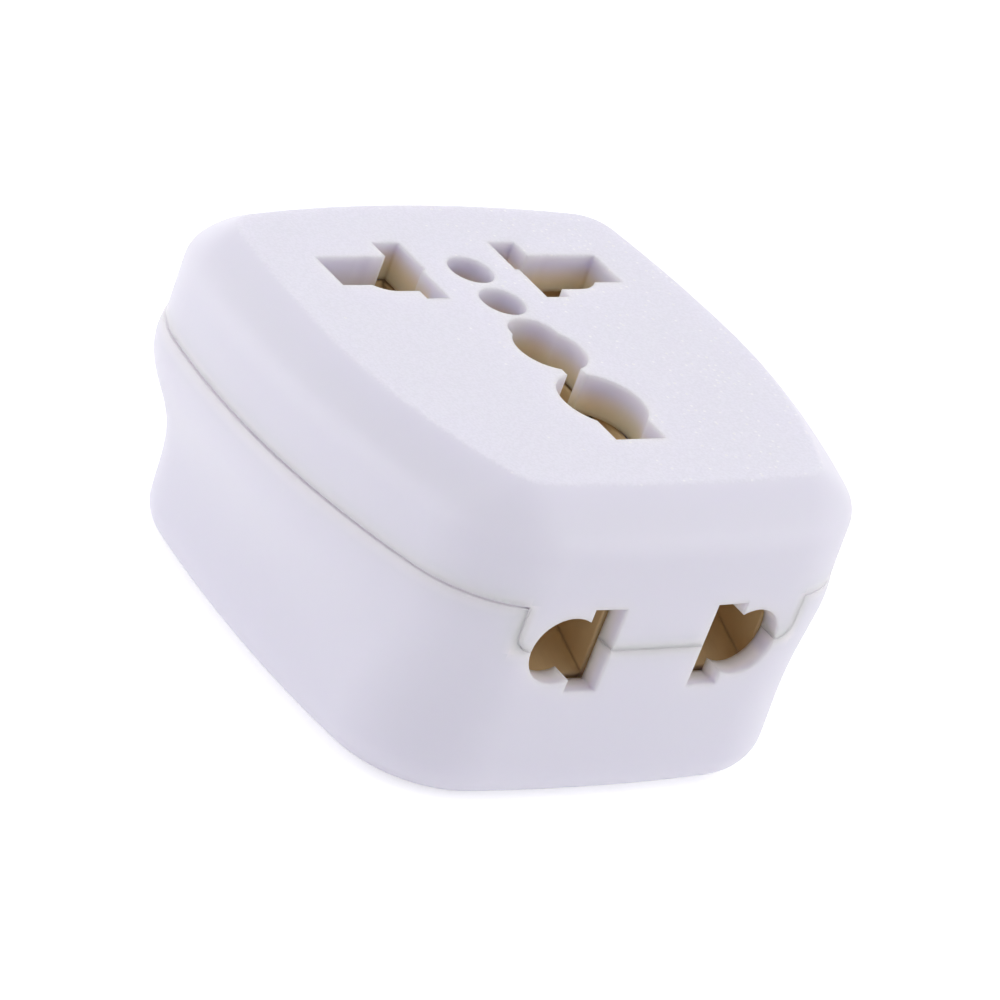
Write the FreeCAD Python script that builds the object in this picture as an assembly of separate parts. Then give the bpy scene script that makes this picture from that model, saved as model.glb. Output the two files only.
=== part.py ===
import FreeCAD, Part
import math
import os
from FreeCAD import Vector as V

os.makedirs("parts", exist_ok=True)

# The adapter lies on its back face. X is across the face, Y runs from the earth end (-Y)
# to the line and neutral end (+Y), Z points out of the socket face. All sizes are in mm.

# body: its depth, and how far its ends and sides lie from the openings
BODY_DEPTH = 28.5
END_PAST_ROW = 14.5
END_BELOW_ROW = 36.5
SIDE_PAST_OUTLET = 15.6
CREASE_BELOW_FACE = 3.6
WALL = 2.0
FLOOR = 2.2
BEYOND = 99.0

# outline at the seam, where the cover ends
RIM_WIDEST_Y = 3.5
RIM_SIDE_RADIUS_NEAR = 68.0
RIM_SIDE_RADIUS_FAR = 70.0
RIM_CORNER_NEAR = 10.3
RIM_CORNER_FAR = 11.0
END_RADIUS_NEAR = 170.0
END_RADIUS_FAR = 105.0

# crease between the upright wall and the sloped band, and the flat socket face inside it
CREASE_INSET = 0.15
CREASE_CORNER_FAR = 10.0
CREASE_ROUND = 2.5
BAND_BOW = 0.3
FACE_SIDE_INSET = 4.2
FACE_NEAR_INSET = 4.0
FACE_FAR_INSET = 4.1
FACE_WIDEST_Y = 1.0
FACE_SIDE_RADIUS_NEAR = 44.0
FACE_SIDE_RADIUS_FAR = 110.0
FACE_CORNER = 3.0
FACE_EDGE_ROUND = 0.6
BAND_HOLLOW_SHARE = 0.6

# outline at the foot, and the finger grip along both sides
FOOT_SIDE_TAPER = 3.4
FOOT_NEAR_TAPER = 0.3
FOOT_FAR_TAPER = 4.2
FOOT_WIDEST_Y = -8.0
FOOT_SIDE_RADIUS_NEAR = 83.0
FOOT_SIDE_RADIUS_FAR = 135.0
FOOT_CORNER_NEAR = 10.3
FOOT_CORNER_FAR = 7.6
FOOT_ROUND = 3.2
GRIP_LIP = 3.4
GRIP_VALLEY = 10.4
GRIP_FOOT = 16.8
GRIP_DEPTH = 1.1
LIP_BULGE = 0.95
FOOT_BULGE = 0.13
GRIP_FADE = 21.0

# joint between the two housings
SEAM_GROOVE_HEIGHT = 0.18
SEAM_GROOVE_DEPTH = 0.35
LIP_HEIGHT = 1.3
LIP_WALL = 0.9
LIP_CLEARANCE = 0.25
TONGUE_HALF_WIDTH = 14.3
TONGUE_CORNER = 1.5
TONGUE_GAP = 0.06

# socket openings in the face
SLOT_INNER_X = 5.1
SLOT_OUTER_X = 7.5
SLOT_HALF_HEIGHT = 4.4
SLOT_STEP_X = 4.7
BAR_OUTER_X = 14.7
BAR_HALF_HEIGHT = 2.2
LOBE_X = 9.6
LOBE_Y = -0.45
LOBE_RADIUS = 2.75
SMALL_HOLE_RADIUS = 2.1
SMALL_HOLE_PITCH = 5.0
EARTH_TOP_Y = -10.0
EARTH_TOP_RADIUS = 2.4
EARTH_WAIST_Y = -12.3
EARTH_WAIST_RADIUS = 3.3
EARTH_NECK_HALF_WIDTH = 1.0
EARTH_PIN_Y = -20.2
EARTH_PIN_RADIUS = 4.0
EARTH_SLOT_HALF_WIDTH = 2.65
EARTH_SLOT_END_Y = -26.0
GUIDE_DEPTH = 1.6
GUIDE_MARGIN = 1.2

# side outlet in the near end wall
OUTLET_SLOT_X = 6.35
OUTLET_SLOT_WIDTH = 3.2
OUTLET_SLOT_HALF_HEIGHT = 4.0
OUTLET_LOBE_X = 9.5
OUTLET_LOBE_RADIUS = 3.2

# folding plug in the back
BLADE_PITCH = 12.7
BLADE_WIDTH = 6.35
BLADE_THICK = 1.5
BLADE_REACH = 16.0
BLADE_TIP_ROUND = 1.6
BLADE_CLEARANCE = 0.35
SPINDLE_Z = 3.9
SPINDLE_RADIUS = 3.6
SPINDLE_HALF_LENGTH = 9.3
SPINDLE_CLEARANCE = 0.3
TRUNNION_RADIUS = 1.7
TRUNNION_LENGTH = 2.6
TRUNNION_CLEARANCE = 0.05
HEEL_WIDTH = 3.0
HEEL_RADIUS = 4.2
WELL_WALL = 1.2
SADDLE_DROP = 0.3
SADDLE_HALF_LENGTH = 4.6
SADDLE_SIDE_GAP = 0.4
SADDLE_LENGTH = 5.7
RETAINER_THICK = 1.4
RETAINER_FOOT_LIFT = 0.6
RETAINER_SCREW_PAST_PIN = 2.0
WIPER_NOTCH_HALF_WIDTH = 1.8
SPRING_THICK = 0.3
SPRING_HALF_WIDTH = 2.5
SPRING_CROWN = 1.1
SPRING_BEND = 2.6
SPRING_TUCK = 0.9
SPRING_LIFT = 0.08

# plate that carries the contacts
CARRIER_THICK = 1.4
CARRIER_CLEARANCE = 0.4
PARTITION_X = 3.4
PARTITION_THICK = 1.0
PARTITION_REACH = 3.8
PARTITION_HEIGHT = 10.7
OUTLET_ABOVE_CARRIER = 5.15
SEAM_ABOVE_OUTLET = 4.15
FIT = 0.1

# contacts, bent from strip
STRIP = 0.6
LEAF_GAP = 0.3
PINCH_BELOW_TOP = 5.2
PINCH_LEAD = 1.6
HEEL_RISE = 4.0
PINCH_HALF_GAP = 2.1
LEAD_HALF_GAP = 2.6
HEEL_HALF_GAP = 3.2
CHEEK_GAP = 0.2
ROW_MOUTH = 4.75
ROW_LEAF_INNER_X = 4.8
ROW_LEAF_OUTER_X = 14.9
LINK_HALF_WIDTH = 2.0
LINK_END = 1.8
LINK_RIVET_PAST_CLIP = 6.9
TAB_INNER_X = 5.2
TAB_OUTER_X = 7.75
WIPER_THICK = 0.4
WIPER_HALF_WIDTH = 1.4
WIPER_REACH = 1.8
WIPER_RIVET_PAST_ROW = 5.6
CLIP_SET_BACK = 0.9
CLIP_LENGTH = 13.5
CLIP_MOUTH = 4.25
CLIP_LEAD = 4.5
CLIP_PINCH = 7.0
CLIP_PINCH_HALF_GAP = 1.9
CLIP_BACK_HALF_GAP = 2.4
CLIP_OUTER_X = 12.75
CLIP_CHEEK_GAP = 0.1
CLIP_CHEEK_HALF_HEIGHT = 4.3
EARTH_LEAF_INNER_Y = -16.0
EARTH_LEAF_OUTER_Y = -26.4
EARTH_MOUTH = 4.3
EARTH_PLATE_HALF_WIDTH = 5.4
EARTH_WINDOW_HALF_WIDTH = 2.6
EARTH_WINDOW_HALF_LENGTH = 4.3
EARTH_WINDOW_Y = -22.2
EARTH_CUP_NEAR_Y = -15.6
EARTH_CUP_FAR_Y = -7.4
EARTH_CUP_MOUTH = 3.6
EARTH_CUP_PINCH_HALF_GAP = 2.0
EARTH_CUP_HEEL_HALF_GAP = 2.8
EARTH_RIVET_NEAR_Y = -16.0
EARTH_RIVET_FAR_Y = -9.4
RIVET_RADIUS = 1.0
RIVET_HEAD_RADIUS = 1.6
RIVET_HEAD = 0.5
RIVET_END = 1.4

# screws
SCREW_RADIUS = 1.0
SCREW_HEAD_RADIUS = 1.8
SCREW_HEAD = 1.5
SCREW_RECESS = 3.0
SCREW_HOLE_CLEARANCE = 0.2
SCREW_BITE = 7.0
BOSS_RADIUS = 2.4
BOSS_SPLIT_Z = 12.0
BOSS_GAP = 0.15
NEAR_SCREW_INSET = 12.5
FAR_SCREW_INSET = 9.6
SADDLE_GAP = 0.3
SMALL_SCREW_RADIUS = 0.8
SMALL_SCREW_HEAD_RADIUS = 1.6
SMALL_SCREW_HEAD = 0.9
SMALL_SCREW_LENGTH = 4.4
DRIVE_WIDTH = 0.5
DRIVE_DEPTH = 0.6
DRIVE_SHARE = 0.62
HEAD_ROUND_SHARE = 0.3

# worked out from the sizes above: the inner parts stack up from the back to the seam
BLADE_X = BLADE_PITCH / 2
SADDLE_TOP = SPINDLE_Z + SPINDLE_RADIUS - SADDLE_DROP
CARRIER_Z = SADDLE_TOP + RETAINER_THICK
BASE_Z = CARRIER_Z + CARRIER_THICK
OUTLET_Z = BASE_Z + OUTLET_ABOVE_CARRIER
SEAM_Z = OUTLET_Z + SEAM_ABOVE_OUTLET
FACE_Z = BODY_DEPTH
CREASE_Z = FACE_Z - CREASE_BELOW_FACE
GUIDE_Z = FACE_Z - WALL - GUIDE_DEPTH
LEAF_TOP = GUIDE_Z - LEAF_GAP
LEAF_LOW = BASE_Z + STRIP / 2

# and across it they line up between the sides, the two ends, the socket row and the screws
RIM_HALF_WIDTH = OUTLET_LOBE_X + SIDE_PAST_OUTLET
HALF_LENGTH = (END_PAST_ROW + END_BELOW_ROW) / 2
ROW_Y = HALF_LENGTH - END_PAST_ROW
CLIP_FRONT_Y = -HALF_LENGTH + WALL + CLIP_SET_BACK
CLIP_BACK_Y = CLIP_FRONT_Y + CLIP_LENGTH
LINK_RIVET_Y = CLIP_BACK_Y + LINK_RIVET_PAST_CLIP
WIPER_RIVET_Y = ROW_Y + WIPER_RIVET_PAST_ROW
NEAR_SCREW_X = CLIP_OUTER_X + CLIP_CHEEK_GAP + STRIP + BOSS_GAP + BOSS_RADIUS
NEAR_SCREW_Y = -HALF_LENGTH + NEAR_SCREW_INSET
FAR_SCREW_Y = HALF_LENGTH - FAR_SCREW_INSET
SADDLE_INNER_X = SPINDLE_HALF_LENGTH + SADDLE_SIDE_GAP
SADDLE_OUTER_X = SADDLE_INNER_X + SADDLE_LENGTH
RETAINER_SCREW_X = SPINDLE_HALF_LENGTH + TRUNNION_LENGTH + RETAINER_SCREW_PAST_PIN
SPINDLE_Y = FAR_SCREW_Y - BOSS_RADIUS - SADDLE_GAP - SADDLE_HALF_LENGTH
BLADE_TIP_Y = SPINDLE_Y - SPINDLE_Z - BLADE_REACH


def outline(z, inset, half_width, widest_y, near, far, side_near, side_far, corner_near, corner_far):
    """Closed outline at height z: bowed sides and ends joined by round corners, drawn inset."""

    def quarter(side, end, reach, corner, sign):
        side_c = V(half_width - side, widest_y, z)
        end_c = V(0, sign * (reach - end), z)
        r_side = side - corner
        r_end = end - corner
        gap = end_c.sub(side_c)
        along = (r_side ** 2 - r_end ** 2 + gap.Length ** 2) / (2 * gap.Length)
        off = math.sqrt(r_side ** 2 - along ** 2)
        u = V(gap).normalize()
        mid = side_c + u * along
        cross = V(-u.y, u.x, 0) * off
        corner_c = max((mid + cross, mid - cross), key=lambda p: p.x + sign * p.y)
        a1 = math.atan2(corner_c.y - side_c.y, corner_c.x - side_c.x)
        a2 = math.atan2(corner_c.y - end_c.y, corner_c.x - end_c.x)
        return side_c, side - inset, end_c, end - inset, corner_c, max(corner - inset, 0.3), a1, a2

    def at(centre, radius, angle):
        return V(centre.x + radius * math.cos(angle), centre.y + radius * math.sin(angle), z)

    def arc(centre, radius, start, stop):
        return [at(centre, radius, start), at(centre, radius, (start + stop) / 2), at(centre, radius, stop)]

    nc, nr, nec, ner, ncc, ncr, na1, na2 = quarter(side_near, END_RADIUS_NEAR, near, corner_near, -1)
    fc, fr, fec, fer, fcc, fcr, fa1, fa2 = quarter(side_far, END_RADIUS_FAR, far, corner_far, 1)
    right = [arc(fc, fr, 0, fa1), arc(fcc, fcr, fa1, fa2)]
    top = [at(fec, fer, fa2), at(fec, fer, math.pi / 2)]
    low = [arc(ncc, ncr, na2, na1), arc(nc, nr, na1, 0)]
    bottom = [at(nec, ner, na2), at(nec, ner, -math.pi / 2)]

    def mirror(p):
        return V(-p.x, p.y, p.z)

    edges = [Part.Arc(*a).toShape() for a in right]
    edges.append(Part.Arc(top[0], top[1], mirror(top[0])).toShape())
    edges += [Part.Arc(*[mirror(p) for p in reversed(a)]).toShape() for a in reversed(right)]
    edges += [Part.Arc(*[mirror(p) for p in reversed(a)]).toShape() for a in reversed(low)]
    edges.append(Part.Arc(mirror(bottom[0]), bottom[1], bottom[0]).toShape())
    edges += [Part.Arc(*a).toShape() for a in low]
    return Part.Wire(Part.__sortEdges__(edges))


def rim_outline(z, inset):
    return outline(z, inset, RIM_HALF_WIDTH, RIM_WIDEST_Y, HALF_LENGTH, HALF_LENGTH,
                   RIM_SIDE_RADIUS_NEAR, RIM_SIDE_RADIUS_FAR, RIM_CORNER_NEAR, RIM_CORNER_FAR)


def band_outline(z, inset, share):
    """Outline of the sloped band; share runs from 0 at the crease to 1 at the face."""

    def mix(crease, face):
        return crease + (face - crease) * share

    bow = 4 * BAND_BOW * share * (1 - share)
    return outline(z, inset + mix(CREASE_INSET, 0) - bow, RIM_HALF_WIDTH - FACE_SIDE_INSET * share,
                   mix(RIM_WIDEST_Y, FACE_WIDEST_Y),
                   HALF_LENGTH - FACE_NEAR_INSET * share, HALF_LENGTH - FACE_FAR_INSET * share,
                   mix(RIM_SIDE_RADIUS_NEAR, FACE_SIDE_RADIUS_NEAR),
                   mix(RIM_SIDE_RADIUS_FAR, FACE_SIDE_RADIUS_FAR),
                   mix(RIM_CORNER_NEAR, FACE_CORNER), mix(CREASE_CORNER_FAR, FACE_CORNER))


def body_outline(z, inset, grip):
    """Outline between the rim and the foot; grip narrows the sides and fades at the near corners."""
    share = (SEAM_Z - z) / SEAM_Z

    def mix(rim, foot):
        return rim + (foot - rim) * share

    bow = mix(RIM_SIDE_RADIUS_NEAR, FOOT_SIDE_RADIUS_NEAR)
    side_near = 1 / (1 / bow - 2 * grip / GRIP_FADE ** 2)
    return outline(z, inset, RIM_HALF_WIDTH - FOOT_SIDE_TAPER * share - grip,
                   mix(RIM_WIDEST_Y, FOOT_WIDEST_Y),
                   HALF_LENGTH - FOOT_NEAR_TAPER * share, HALF_LENGTH - FOOT_FAR_TAPER * share,
                   side_near, mix(RIM_SIDE_RADIUS_FAR, FOOT_SIDE_RADIUS_FAR),
                   mix(RIM_CORNER_NEAR, FOOT_CORNER_NEAR), mix(RIM_CORNER_FAR, FOOT_CORNER_FAR))


def cover_form():
    """Solid form above the seam: an upright wall and a sloped, slightly bowed band up to the face."""
    wall = Part.makeLoft([rim_outline(SEAM_Z, 0), band_outline(CREASE_Z, 0, 0)], True, True)
    middle = (CREASE_Z + FACE_Z) / 2
    levels = [band_outline(CREASE_Z, 0, 0), band_outline(middle, 0, 0.5), band_outline(FACE_Z, 0, 1)]
    return wall.fuse(Part.makeLoft(levels, True, False))


def cover_hollow():
    """Inside of the cover, one wall thickness in from its form."""
    wall = Part.makeLoft([rim_outline(SEAM_Z, WALL), band_outline(CREASE_Z, WALL, 0)], True, True)
    under_face = band_outline(FACE_Z - WALL, WALL * BAND_HOLLOW_SHARE, 1)
    return wall.fuse(Part.makeLoft([band_outline(CREASE_Z, WALL, 0), under_face], True, True))


def housing_form(inset):
    """Solid form below the seam with the wavy finger grip along both sides."""
    levels = [(SEAM_Z, 0), (SEAM_Z - GRIP_LIP, -LIP_BULGE), (SEAM_Z - GRIP_VALLEY, GRIP_DEPTH),
              (SEAM_Z - GRIP_FOOT, -FOOT_BULGE), (0, 0)]
    return Part.makeLoft([body_outline(z, inset, grip) for z, grip in levels], True, False)


def box(x0, x1, y0, y1, z0, z1):
    return Part.makeBox(x1 - x0, y1 - y0, z1 - z0, V(x0, y0, z0))


def slab(z0, z1):
    """Everything between two heights."""
    return box(-BEYOND, BEYOND, -BEYOND, BEYOND, z0, z1)


def pillar(radius, x, y, z0, z1):
    return Part.makeCylinder(radius, z1 - z0, V(x, y, z0))


def prism(wire, height):
    return Part.Face(wire).extrude(V(0, 0, height))


def rod(radius, x0, x1, y, z):
    return Part.makeCylinder(radius, x1 - x0, V(x0, y, z), V(1, 0, 0))


def mirrored(shape):
    return shape.mirror(V(0, 0, 0), V(1, 0, 0))


def both(shape):
    return shape.fuse(mirrored(shape))


def union(shapes):
    return shapes[0].multiFuse(shapes[1:]).removeSplitter()


def strip(points, thickness, place, width_from, width_to):
    """Bent strip of constant thickness: its middle line is points, place turns (u, v, w) into a vector."""
    path = [V(u, v, 0) for u, v in points]
    sides = [[], []]
    for i, p in enumerate(path):
        ahead = V(path[min(i + 1, len(path) - 1)].sub(p))
        behind = V(p.sub(path[max(i - 1, 0)]))
        ahead = behind if ahead.Length == 0 else ahead
        behind = ahead if behind.Length == 0 else behind
        bisector = V(ahead).normalize() + V(behind).normalize()
        bisector.normalize()
        normal = V(-bisector.y, bisector.x, 0)
        square = V(-ahead.y, ahead.x, 0).normalize()
        reach = thickness / 2 / normal.dot(square)
        sides[0].append(p + normal * reach)
        sides[1].append(p - normal * reach)
    loop = sides[0] + sides[1][::-1]
    corners = [place(p.x, p.y, width_from) for p in loop]
    face = Part.Face(Part.makePolygon(corners + corners[:1]))
    return face.extrude(place(0, 0, width_to) - place(0, 0, width_from))


def across(u, v, w):
    return V(w, u, v)


def along(u, v, w):
    return V(u, w, v)


# openings

def row_opening(z0, z1):
    """Line or neutral opening on the +X side: upright slot, bar slot and round lobe."""
    slot = box(SLOT_INNER_X, SLOT_OUTER_X, ROW_Y - SLOT_HALF_HEIGHT, ROW_Y + SLOT_HALF_HEIGHT, z0, z1)
    step = box(SLOT_STEP_X, SLOT_OUTER_X, ROW_Y, ROW_Y + SLOT_HALF_HEIGHT, z0, z1)
    bar = box(SLOT_INNER_X, BAR_OUTER_X, ROW_Y - BAR_HALF_HEIGHT, ROW_Y + BAR_HALF_HEIGHT, z0, z1)
    lobe = pillar(LOBE_RADIUS, LOBE_X, ROW_Y + LOBE_Y, z0, z1)
    under = box(SLOT_OUTER_X, LOBE_X, ROW_Y + LOBE_Y - LOBE_RADIUS, ROW_Y, z0, z1)
    return union([slot, step, bar, lobe, under])


def earth_opening(z0, z1):
    top = pillar(EARTH_TOP_RADIUS, 0, ROW_Y + EARTH_TOP_Y, z0, z1)
    waist = pillar(EARTH_WAIST_RADIUS, 0, ROW_Y + EARTH_WAIST_Y, z0, z1)
    neck = box(-EARTH_NECK_HALF_WIDTH, EARTH_NECK_HALF_WIDTH, ROW_Y + EARTH_PIN_Y, ROW_Y + EARTH_WAIST_Y,
               z0, z1)
    pin = pillar(EARTH_PIN_RADIUS, 0, ROW_Y + EARTH_PIN_Y, z0, z1)
    slot = box(-EARTH_SLOT_HALF_WIDTH, EARTH_SLOT_HALF_WIDTH, ROW_Y + EARTH_SLOT_END_Y, ROW_Y + EARTH_PIN_Y,
               z0, z1)
    return union([top, waist, neck, pin, slot])


def socket_openings():
    z0 = GUIDE_Z - WALL
    z1 = FACE_Z + WALL
    holes = [pillar(SMALL_HOLE_RADIUS, 0, ROW_Y - i * SMALL_HOLE_PITCH, z0, z1) for i in range(2)]
    return both(row_opening(z0, z1)).fuse(earth_opening(z0, z1)).multiFuse(holes)


def outlet_openings():
    """Two side openings: an upright slot with a round lobe on its outer side."""
    half = OUTLET_SLOT_WIDTH / 2
    start = -HALF_LENGTH - WALL
    slot = box(OUTLET_SLOT_X - half, OUTLET_SLOT_X + half, start, start + 4 * WALL,
               OUTLET_Z - OUTLET_SLOT_HALF_HEIGHT, OUTLET_Z + OUTLET_SLOT_HALF_HEIGHT)
    lobe = Part.makeCylinder(OUTLET_LOBE_RADIUS, 4 * WALL, V(OUTLET_LOBE_X, start, OUTLET_Z), V(0, 1, 0))
    return both(slot.fuse(lobe))


# housings

def guide_block():
    """Thicker plastic under the face, which makes deep walls round the openings."""
    m = GUIDE_MARGIN
    top = FACE_Z - WALL
    row = box(SLOT_STEP_X - m, BAR_OUTER_X + m, ROW_Y - SLOT_HALF_HEIGHT - m, ROW_Y + SLOT_HALF_HEIGHT + m,
              GUIDE_Z, top)
    middle = box(-EARTH_PIN_RADIUS - m, EARTH_PIN_RADIUS + m, ROW_Y + EARTH_SLOT_END_Y - m,
                 ROW_Y + SMALL_HOLE_RADIUS + m, GUIDE_Z, top)
    return both(row).fuse(middle)


def tongue(gap):
    """Block that takes the upper half of the side outlet into the cover."""
    low = OUTLET_Z - gap
    block = box(-TONGUE_HALF_WIDTH - gap, TONGUE_HALF_WIDTH + gap, -HALF_LENGTH - WALL,
                -HALF_LENGTH + 2 * WALL, low, SEAM_Z + LIP_HEIGHT)
    edges = [e for e in block.Edges
             if abs(e.tangentAt(e.FirstParameter).y) > 0.99 and e.BoundBox.ZMax < low + 0.01]
    return block.makeFillet(TONGUE_CORNER + gap, edges)


def screw_places():
    return [(NEAR_SCREW_X, NEAR_SCREW_Y), (-NEAR_SCREW_X, NEAR_SCREW_Y), (0, FAR_SCREW_Y)]


def soft_edges(shape, radius, level):
    """Round the closed run of edges that lies in the plane z = level."""
    ring = [e for e in shape.Edges
            if abs(e.BoundBox.ZMax - level) < 0.02 and abs(e.BoundBox.ZMin - level) < 0.02]
    return shape.makeFillet(radius, ring)


def make_front_cover():
    outer = soft_edges(cover_form(), CREASE_ROUND, CREASE_Z)
    outer = soft_edges(outer, FACE_EDGE_ROUND, FACE_Z)
    shell = outer.cut(cover_hollow())
    skin = housing_form(0).cut(housing_form(WALL))
    flap = skin.common(tongue(0).cut(slab(SEAM_Z, BEYOND)))
    bosses = [pillar(BOSS_RADIUS, x, y, BOSS_SPLIT_Z, FACE_Z - WALL) for x, y in screw_places()]
    pilots = [pillar(SCREW_RADIUS, x, y, BOSS_SPLIT_Z, GUIDE_Z) for x, y in screw_places()]
    cover = union([shell, guide_block(), flap] + bosses)
    return cover.cut(socket_openings()).cut(outlet_openings()).cut(Part.makeCompound(pilots))


def plug_bay():
    """Ribs round the blade slots and the saddle blocks that carry the spindle."""
    half = BLADE_THICK / 2 + BLADE_CLEARANCE + WELL_WALL
    well = box(BLADE_X - half, BLADE_X + half, BLADE_TIP_Y - BLADE_CLEARANCE - WELL_WALL,
               SPINDLE_Y - SADDLE_HALF_LENGTH, 0, CARRIER_Z)
    saddle = box(SADDLE_INNER_X, SADDLE_OUTER_X, SPINDLE_Y - SADDLE_HALF_LENGTH,
                 SPINDLE_Y + SADDLE_HALF_LENGTH, 0, SADDLE_TOP)
    return both(well).fuse(both(saddle))


def plug_cuts():
    """Everything the folded and turning plug needs cleared out of the housing."""
    half = BLADE_THICK / 2 + BLADE_CLEARANCE
    above = SADDLE_TOP + WALL
    swing = SPINDLE_RADIUS + SPINDLE_CLEARANCE
    slot = box(BLADE_X - half, BLADE_X + half, BLADE_TIP_Y - BLADE_CLEARANCE, SPINDLE_Y, -WALL,
               SPINDLE_Z + BLADE_WIDTH / 2 + BLADE_CLEARANCE)
    window = box(0, SPINDLE_HALF_LENGTH + SPINDLE_CLEARANCE, SPINDLE_Y - swing, SPINDLE_Y + swing,
                 -WALL, above)
    trough = TRUNNION_RADIUS + TRUNNION_CLEARANCE
    end = SPINDLE_HALF_LENGTH + TRUNNION_LENGTH + SPINDLE_CLEARANCE
    bearing = rod(trough, 0, end, SPINDLE_Y, SPINDLE_Z)
    mouth = box(0, end, SPINDLE_Y - trough, SPINDLE_Y + trough, SPINDLE_Z, above)
    pilot = pillar(SMALL_SCREW_RADIUS, RETAINER_SCREW_X, SPINDLE_Y, FLOOR, above)
    return both(union([slot, window, bearing, mouth, pilot]))


def joint_lip():
    """Low wall inside the seam that stands up into the cover."""
    root = SEAM_Z - LIP_HEIGHT
    ring = prism(rim_outline(root, WALL / 2), LIP_HEIGHT).fuse(
        prism(rim_outline(SEAM_Z, WALL + LIP_CLEARANCE), LIP_HEIGHT))
    return ring.cut(prism(rim_outline(root, WALL + LIP_CLEARANCE + LIP_WALL), 2 * LIP_HEIGHT))


def seam_groove():
    ring = prism(rim_outline(SEAM_Z - SEAM_GROOVE_HEIGHT, -WALL), SEAM_GROOVE_HEIGHT)
    return ring.cut(prism(rim_outline(SEAM_Z - SEAM_GROOVE_HEIGHT, SEAM_GROOVE_DEPTH), SEAM_GROOVE_HEIGHT))


def make_back_housing():
    outer = soft_edges(housing_form(0), FOOT_ROUND, 0)
    shell = outer.cut(housing_form(WALL).common(slab(FLOOR, BEYOND)))
    inside = housing_form(WALL / 2).common(slab(FLOOR / 2, BOSS_SPLIT_Z))
    bosses = [pillar(BOSS_RADIUS, x, y, FLOOR / 2, BOSS_SPLIT_Z) for x, y in screw_places()]
    fittings = union([plug_bay()] + bosses).common(inside)
    housing = union([shell, joint_lip(), fittings])
    clear = SCREW_HOLE_CLEARANCE
    holes = [pillar(SCREW_RADIUS + clear, x, y, 0, SEAM_Z) for x, y in screw_places()]
    recess = [pillar(SCREW_HEAD_RADIUS + clear, x, y, -WALL, SCREW_RECESS) for x, y in screw_places()]
    housing = housing.cut(seam_groove()).cut(Part.makeCompound(holes + recess)).cut(plug_cuts())
    return housing.cut(tongue(TONGUE_GAP)).cut(outlet_openings())


# folding plug

def make_blade():
    """Flat blade on the +X side, folded along -Y, with its heel through the spindle."""
    x0 = BLADE_X - BLADE_THICK / 2
    x1 = BLADE_X + BLADE_THICK / 2
    half = BLADE_WIDTH / 2
    blade = box(x0, x1, BLADE_TIP_Y, SPINDLE_Y, SPINDLE_Z - half, SPINDLE_Z + half)
    end = [e for e in blade.Edges
           if e.BoundBox.YMax < BLADE_TIP_Y + 0.01 and abs(e.tangentAt(e.FirstParameter).x) > 0.99]
    blade = blade.makeFillet(BLADE_TIP_ROUND, end)
    heel = box(x0, x1, SPINDLE_Y - BLADE_THICK, SPINDLE_Y + HEEL_RADIUS,
               SPINDLE_Z - HEEL_WIDTH / 2, SPINDLE_Z + HEEL_WIDTH / 2)
    heel = heel.common(rod(HEEL_RADIUS, 0, 2 * BLADE_X, SPINDLE_Y, SPINDLE_Z))
    return blade.fuse(heel).removeSplitter()


def make_spindle():
    body = rod(SPINDLE_RADIUS, -SPINDLE_HALF_LENGTH, SPINDLE_HALF_LENGTH, SPINDLE_Y, SPINDLE_Z)
    end = SPINDLE_HALF_LENGTH + TRUNNION_LENGTH
    pins = rod(TRUNNION_RADIUS, -end, end, SPINDLE_Y, SPINDLE_Z)
    return body.fuse(pins).cut(both(make_blade()))


def make_retainer():
    """Frame screwed over the saddles; its feet close the bearings over the trunnions."""
    top = CARRIER_Z
    above = top + WALL
    swing = SPINDLE_RADIUS + SPINDLE_CLEARANCE - FIT
    window_end = SPINDLE_HALF_LENGTH + SPINDLE_CLEARANCE - FIT
    trough = TRUNNION_RADIUS + TRUNNION_CLEARANCE
    plate = box(-SADDLE_OUTER_X, SADDLE_OUTER_X, SPINDLE_Y - SADDLE_HALF_LENGTH,
                SPINDLE_Y + SADDLE_HALF_LENGTH, SADDLE_TOP, top)
    opening = box(-window_end, window_end, SPINDLE_Y - swing, SPINDLE_Y + swing, 0, above)
    foot = box(SADDLE_INNER_X + TRUNNION_CLEARANCE, SPINDLE_HALF_LENGTH + TRUNNION_LENGTH,
               SPINDLE_Y - TRUNNION_RADIUS, SPINDLE_Y + TRUNNION_RADIUS, SPINDLE_Z + RETAINER_FOOT_LIFT, top)
    notch = box(BLADE_X - WIPER_NOTCH_HALF_WIDTH, BLADE_X + WIPER_NOTCH_HALF_WIDTH, SPINDLE_Y,
                SPINDLE_Y + 2 * SADDLE_HALF_LENGTH, top - WIPER_THICK - RIVET_HEAD / 2, above)
    hole = pillar(SMALL_SCREW_RADIUS + FIT, RETAINER_SCREW_X, SPINDLE_Y, 0, above)
    sink = pillar(SMALL_SCREW_HEAD_RADIUS + FIT, RETAINER_SCREW_X, SPINDLE_Y,
                  top - SMALL_SCREW_HEAD - FIT, above)
    frame = plate.cut(opening).fuse(both(foot)).removeSplitter()
    frame = frame.cut(both(rod(trough, SPINDLE_HALF_LENGTH, SADDLE_OUTER_X - WALL, SPINDLE_Y, SPINDLE_Z)))
    return frame.cut(both(union([notch, hole, sink])))


def make_friction_spring():
    """Leaf that rubs on the middle of the spindle, its ends under the retainer's bars."""
    end = SPINDLE_RADIUS + SPRING_TUCK
    tuck = SADDLE_TOP - SPRING_THICK / 2 - SPRING_LIFT / 4
    crown = SPINDLE_Z + SPINDLE_RADIUS + SPRING_THICK / 2 + SPRING_LIFT
    half = [(end, tuck), (SPRING_BEND, tuck), (SPRING_CROWN, crown)]
    points = [(SPINDLE_Y - u, v) for u, v in half] + [(SPINDLE_Y + u, v) for u, v in reversed(half)]
    return strip(points, SPRING_THICK, across, -SPRING_HALF_WIDTH, SPRING_HALF_WIDTH)


# inner plate and contacts

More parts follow.
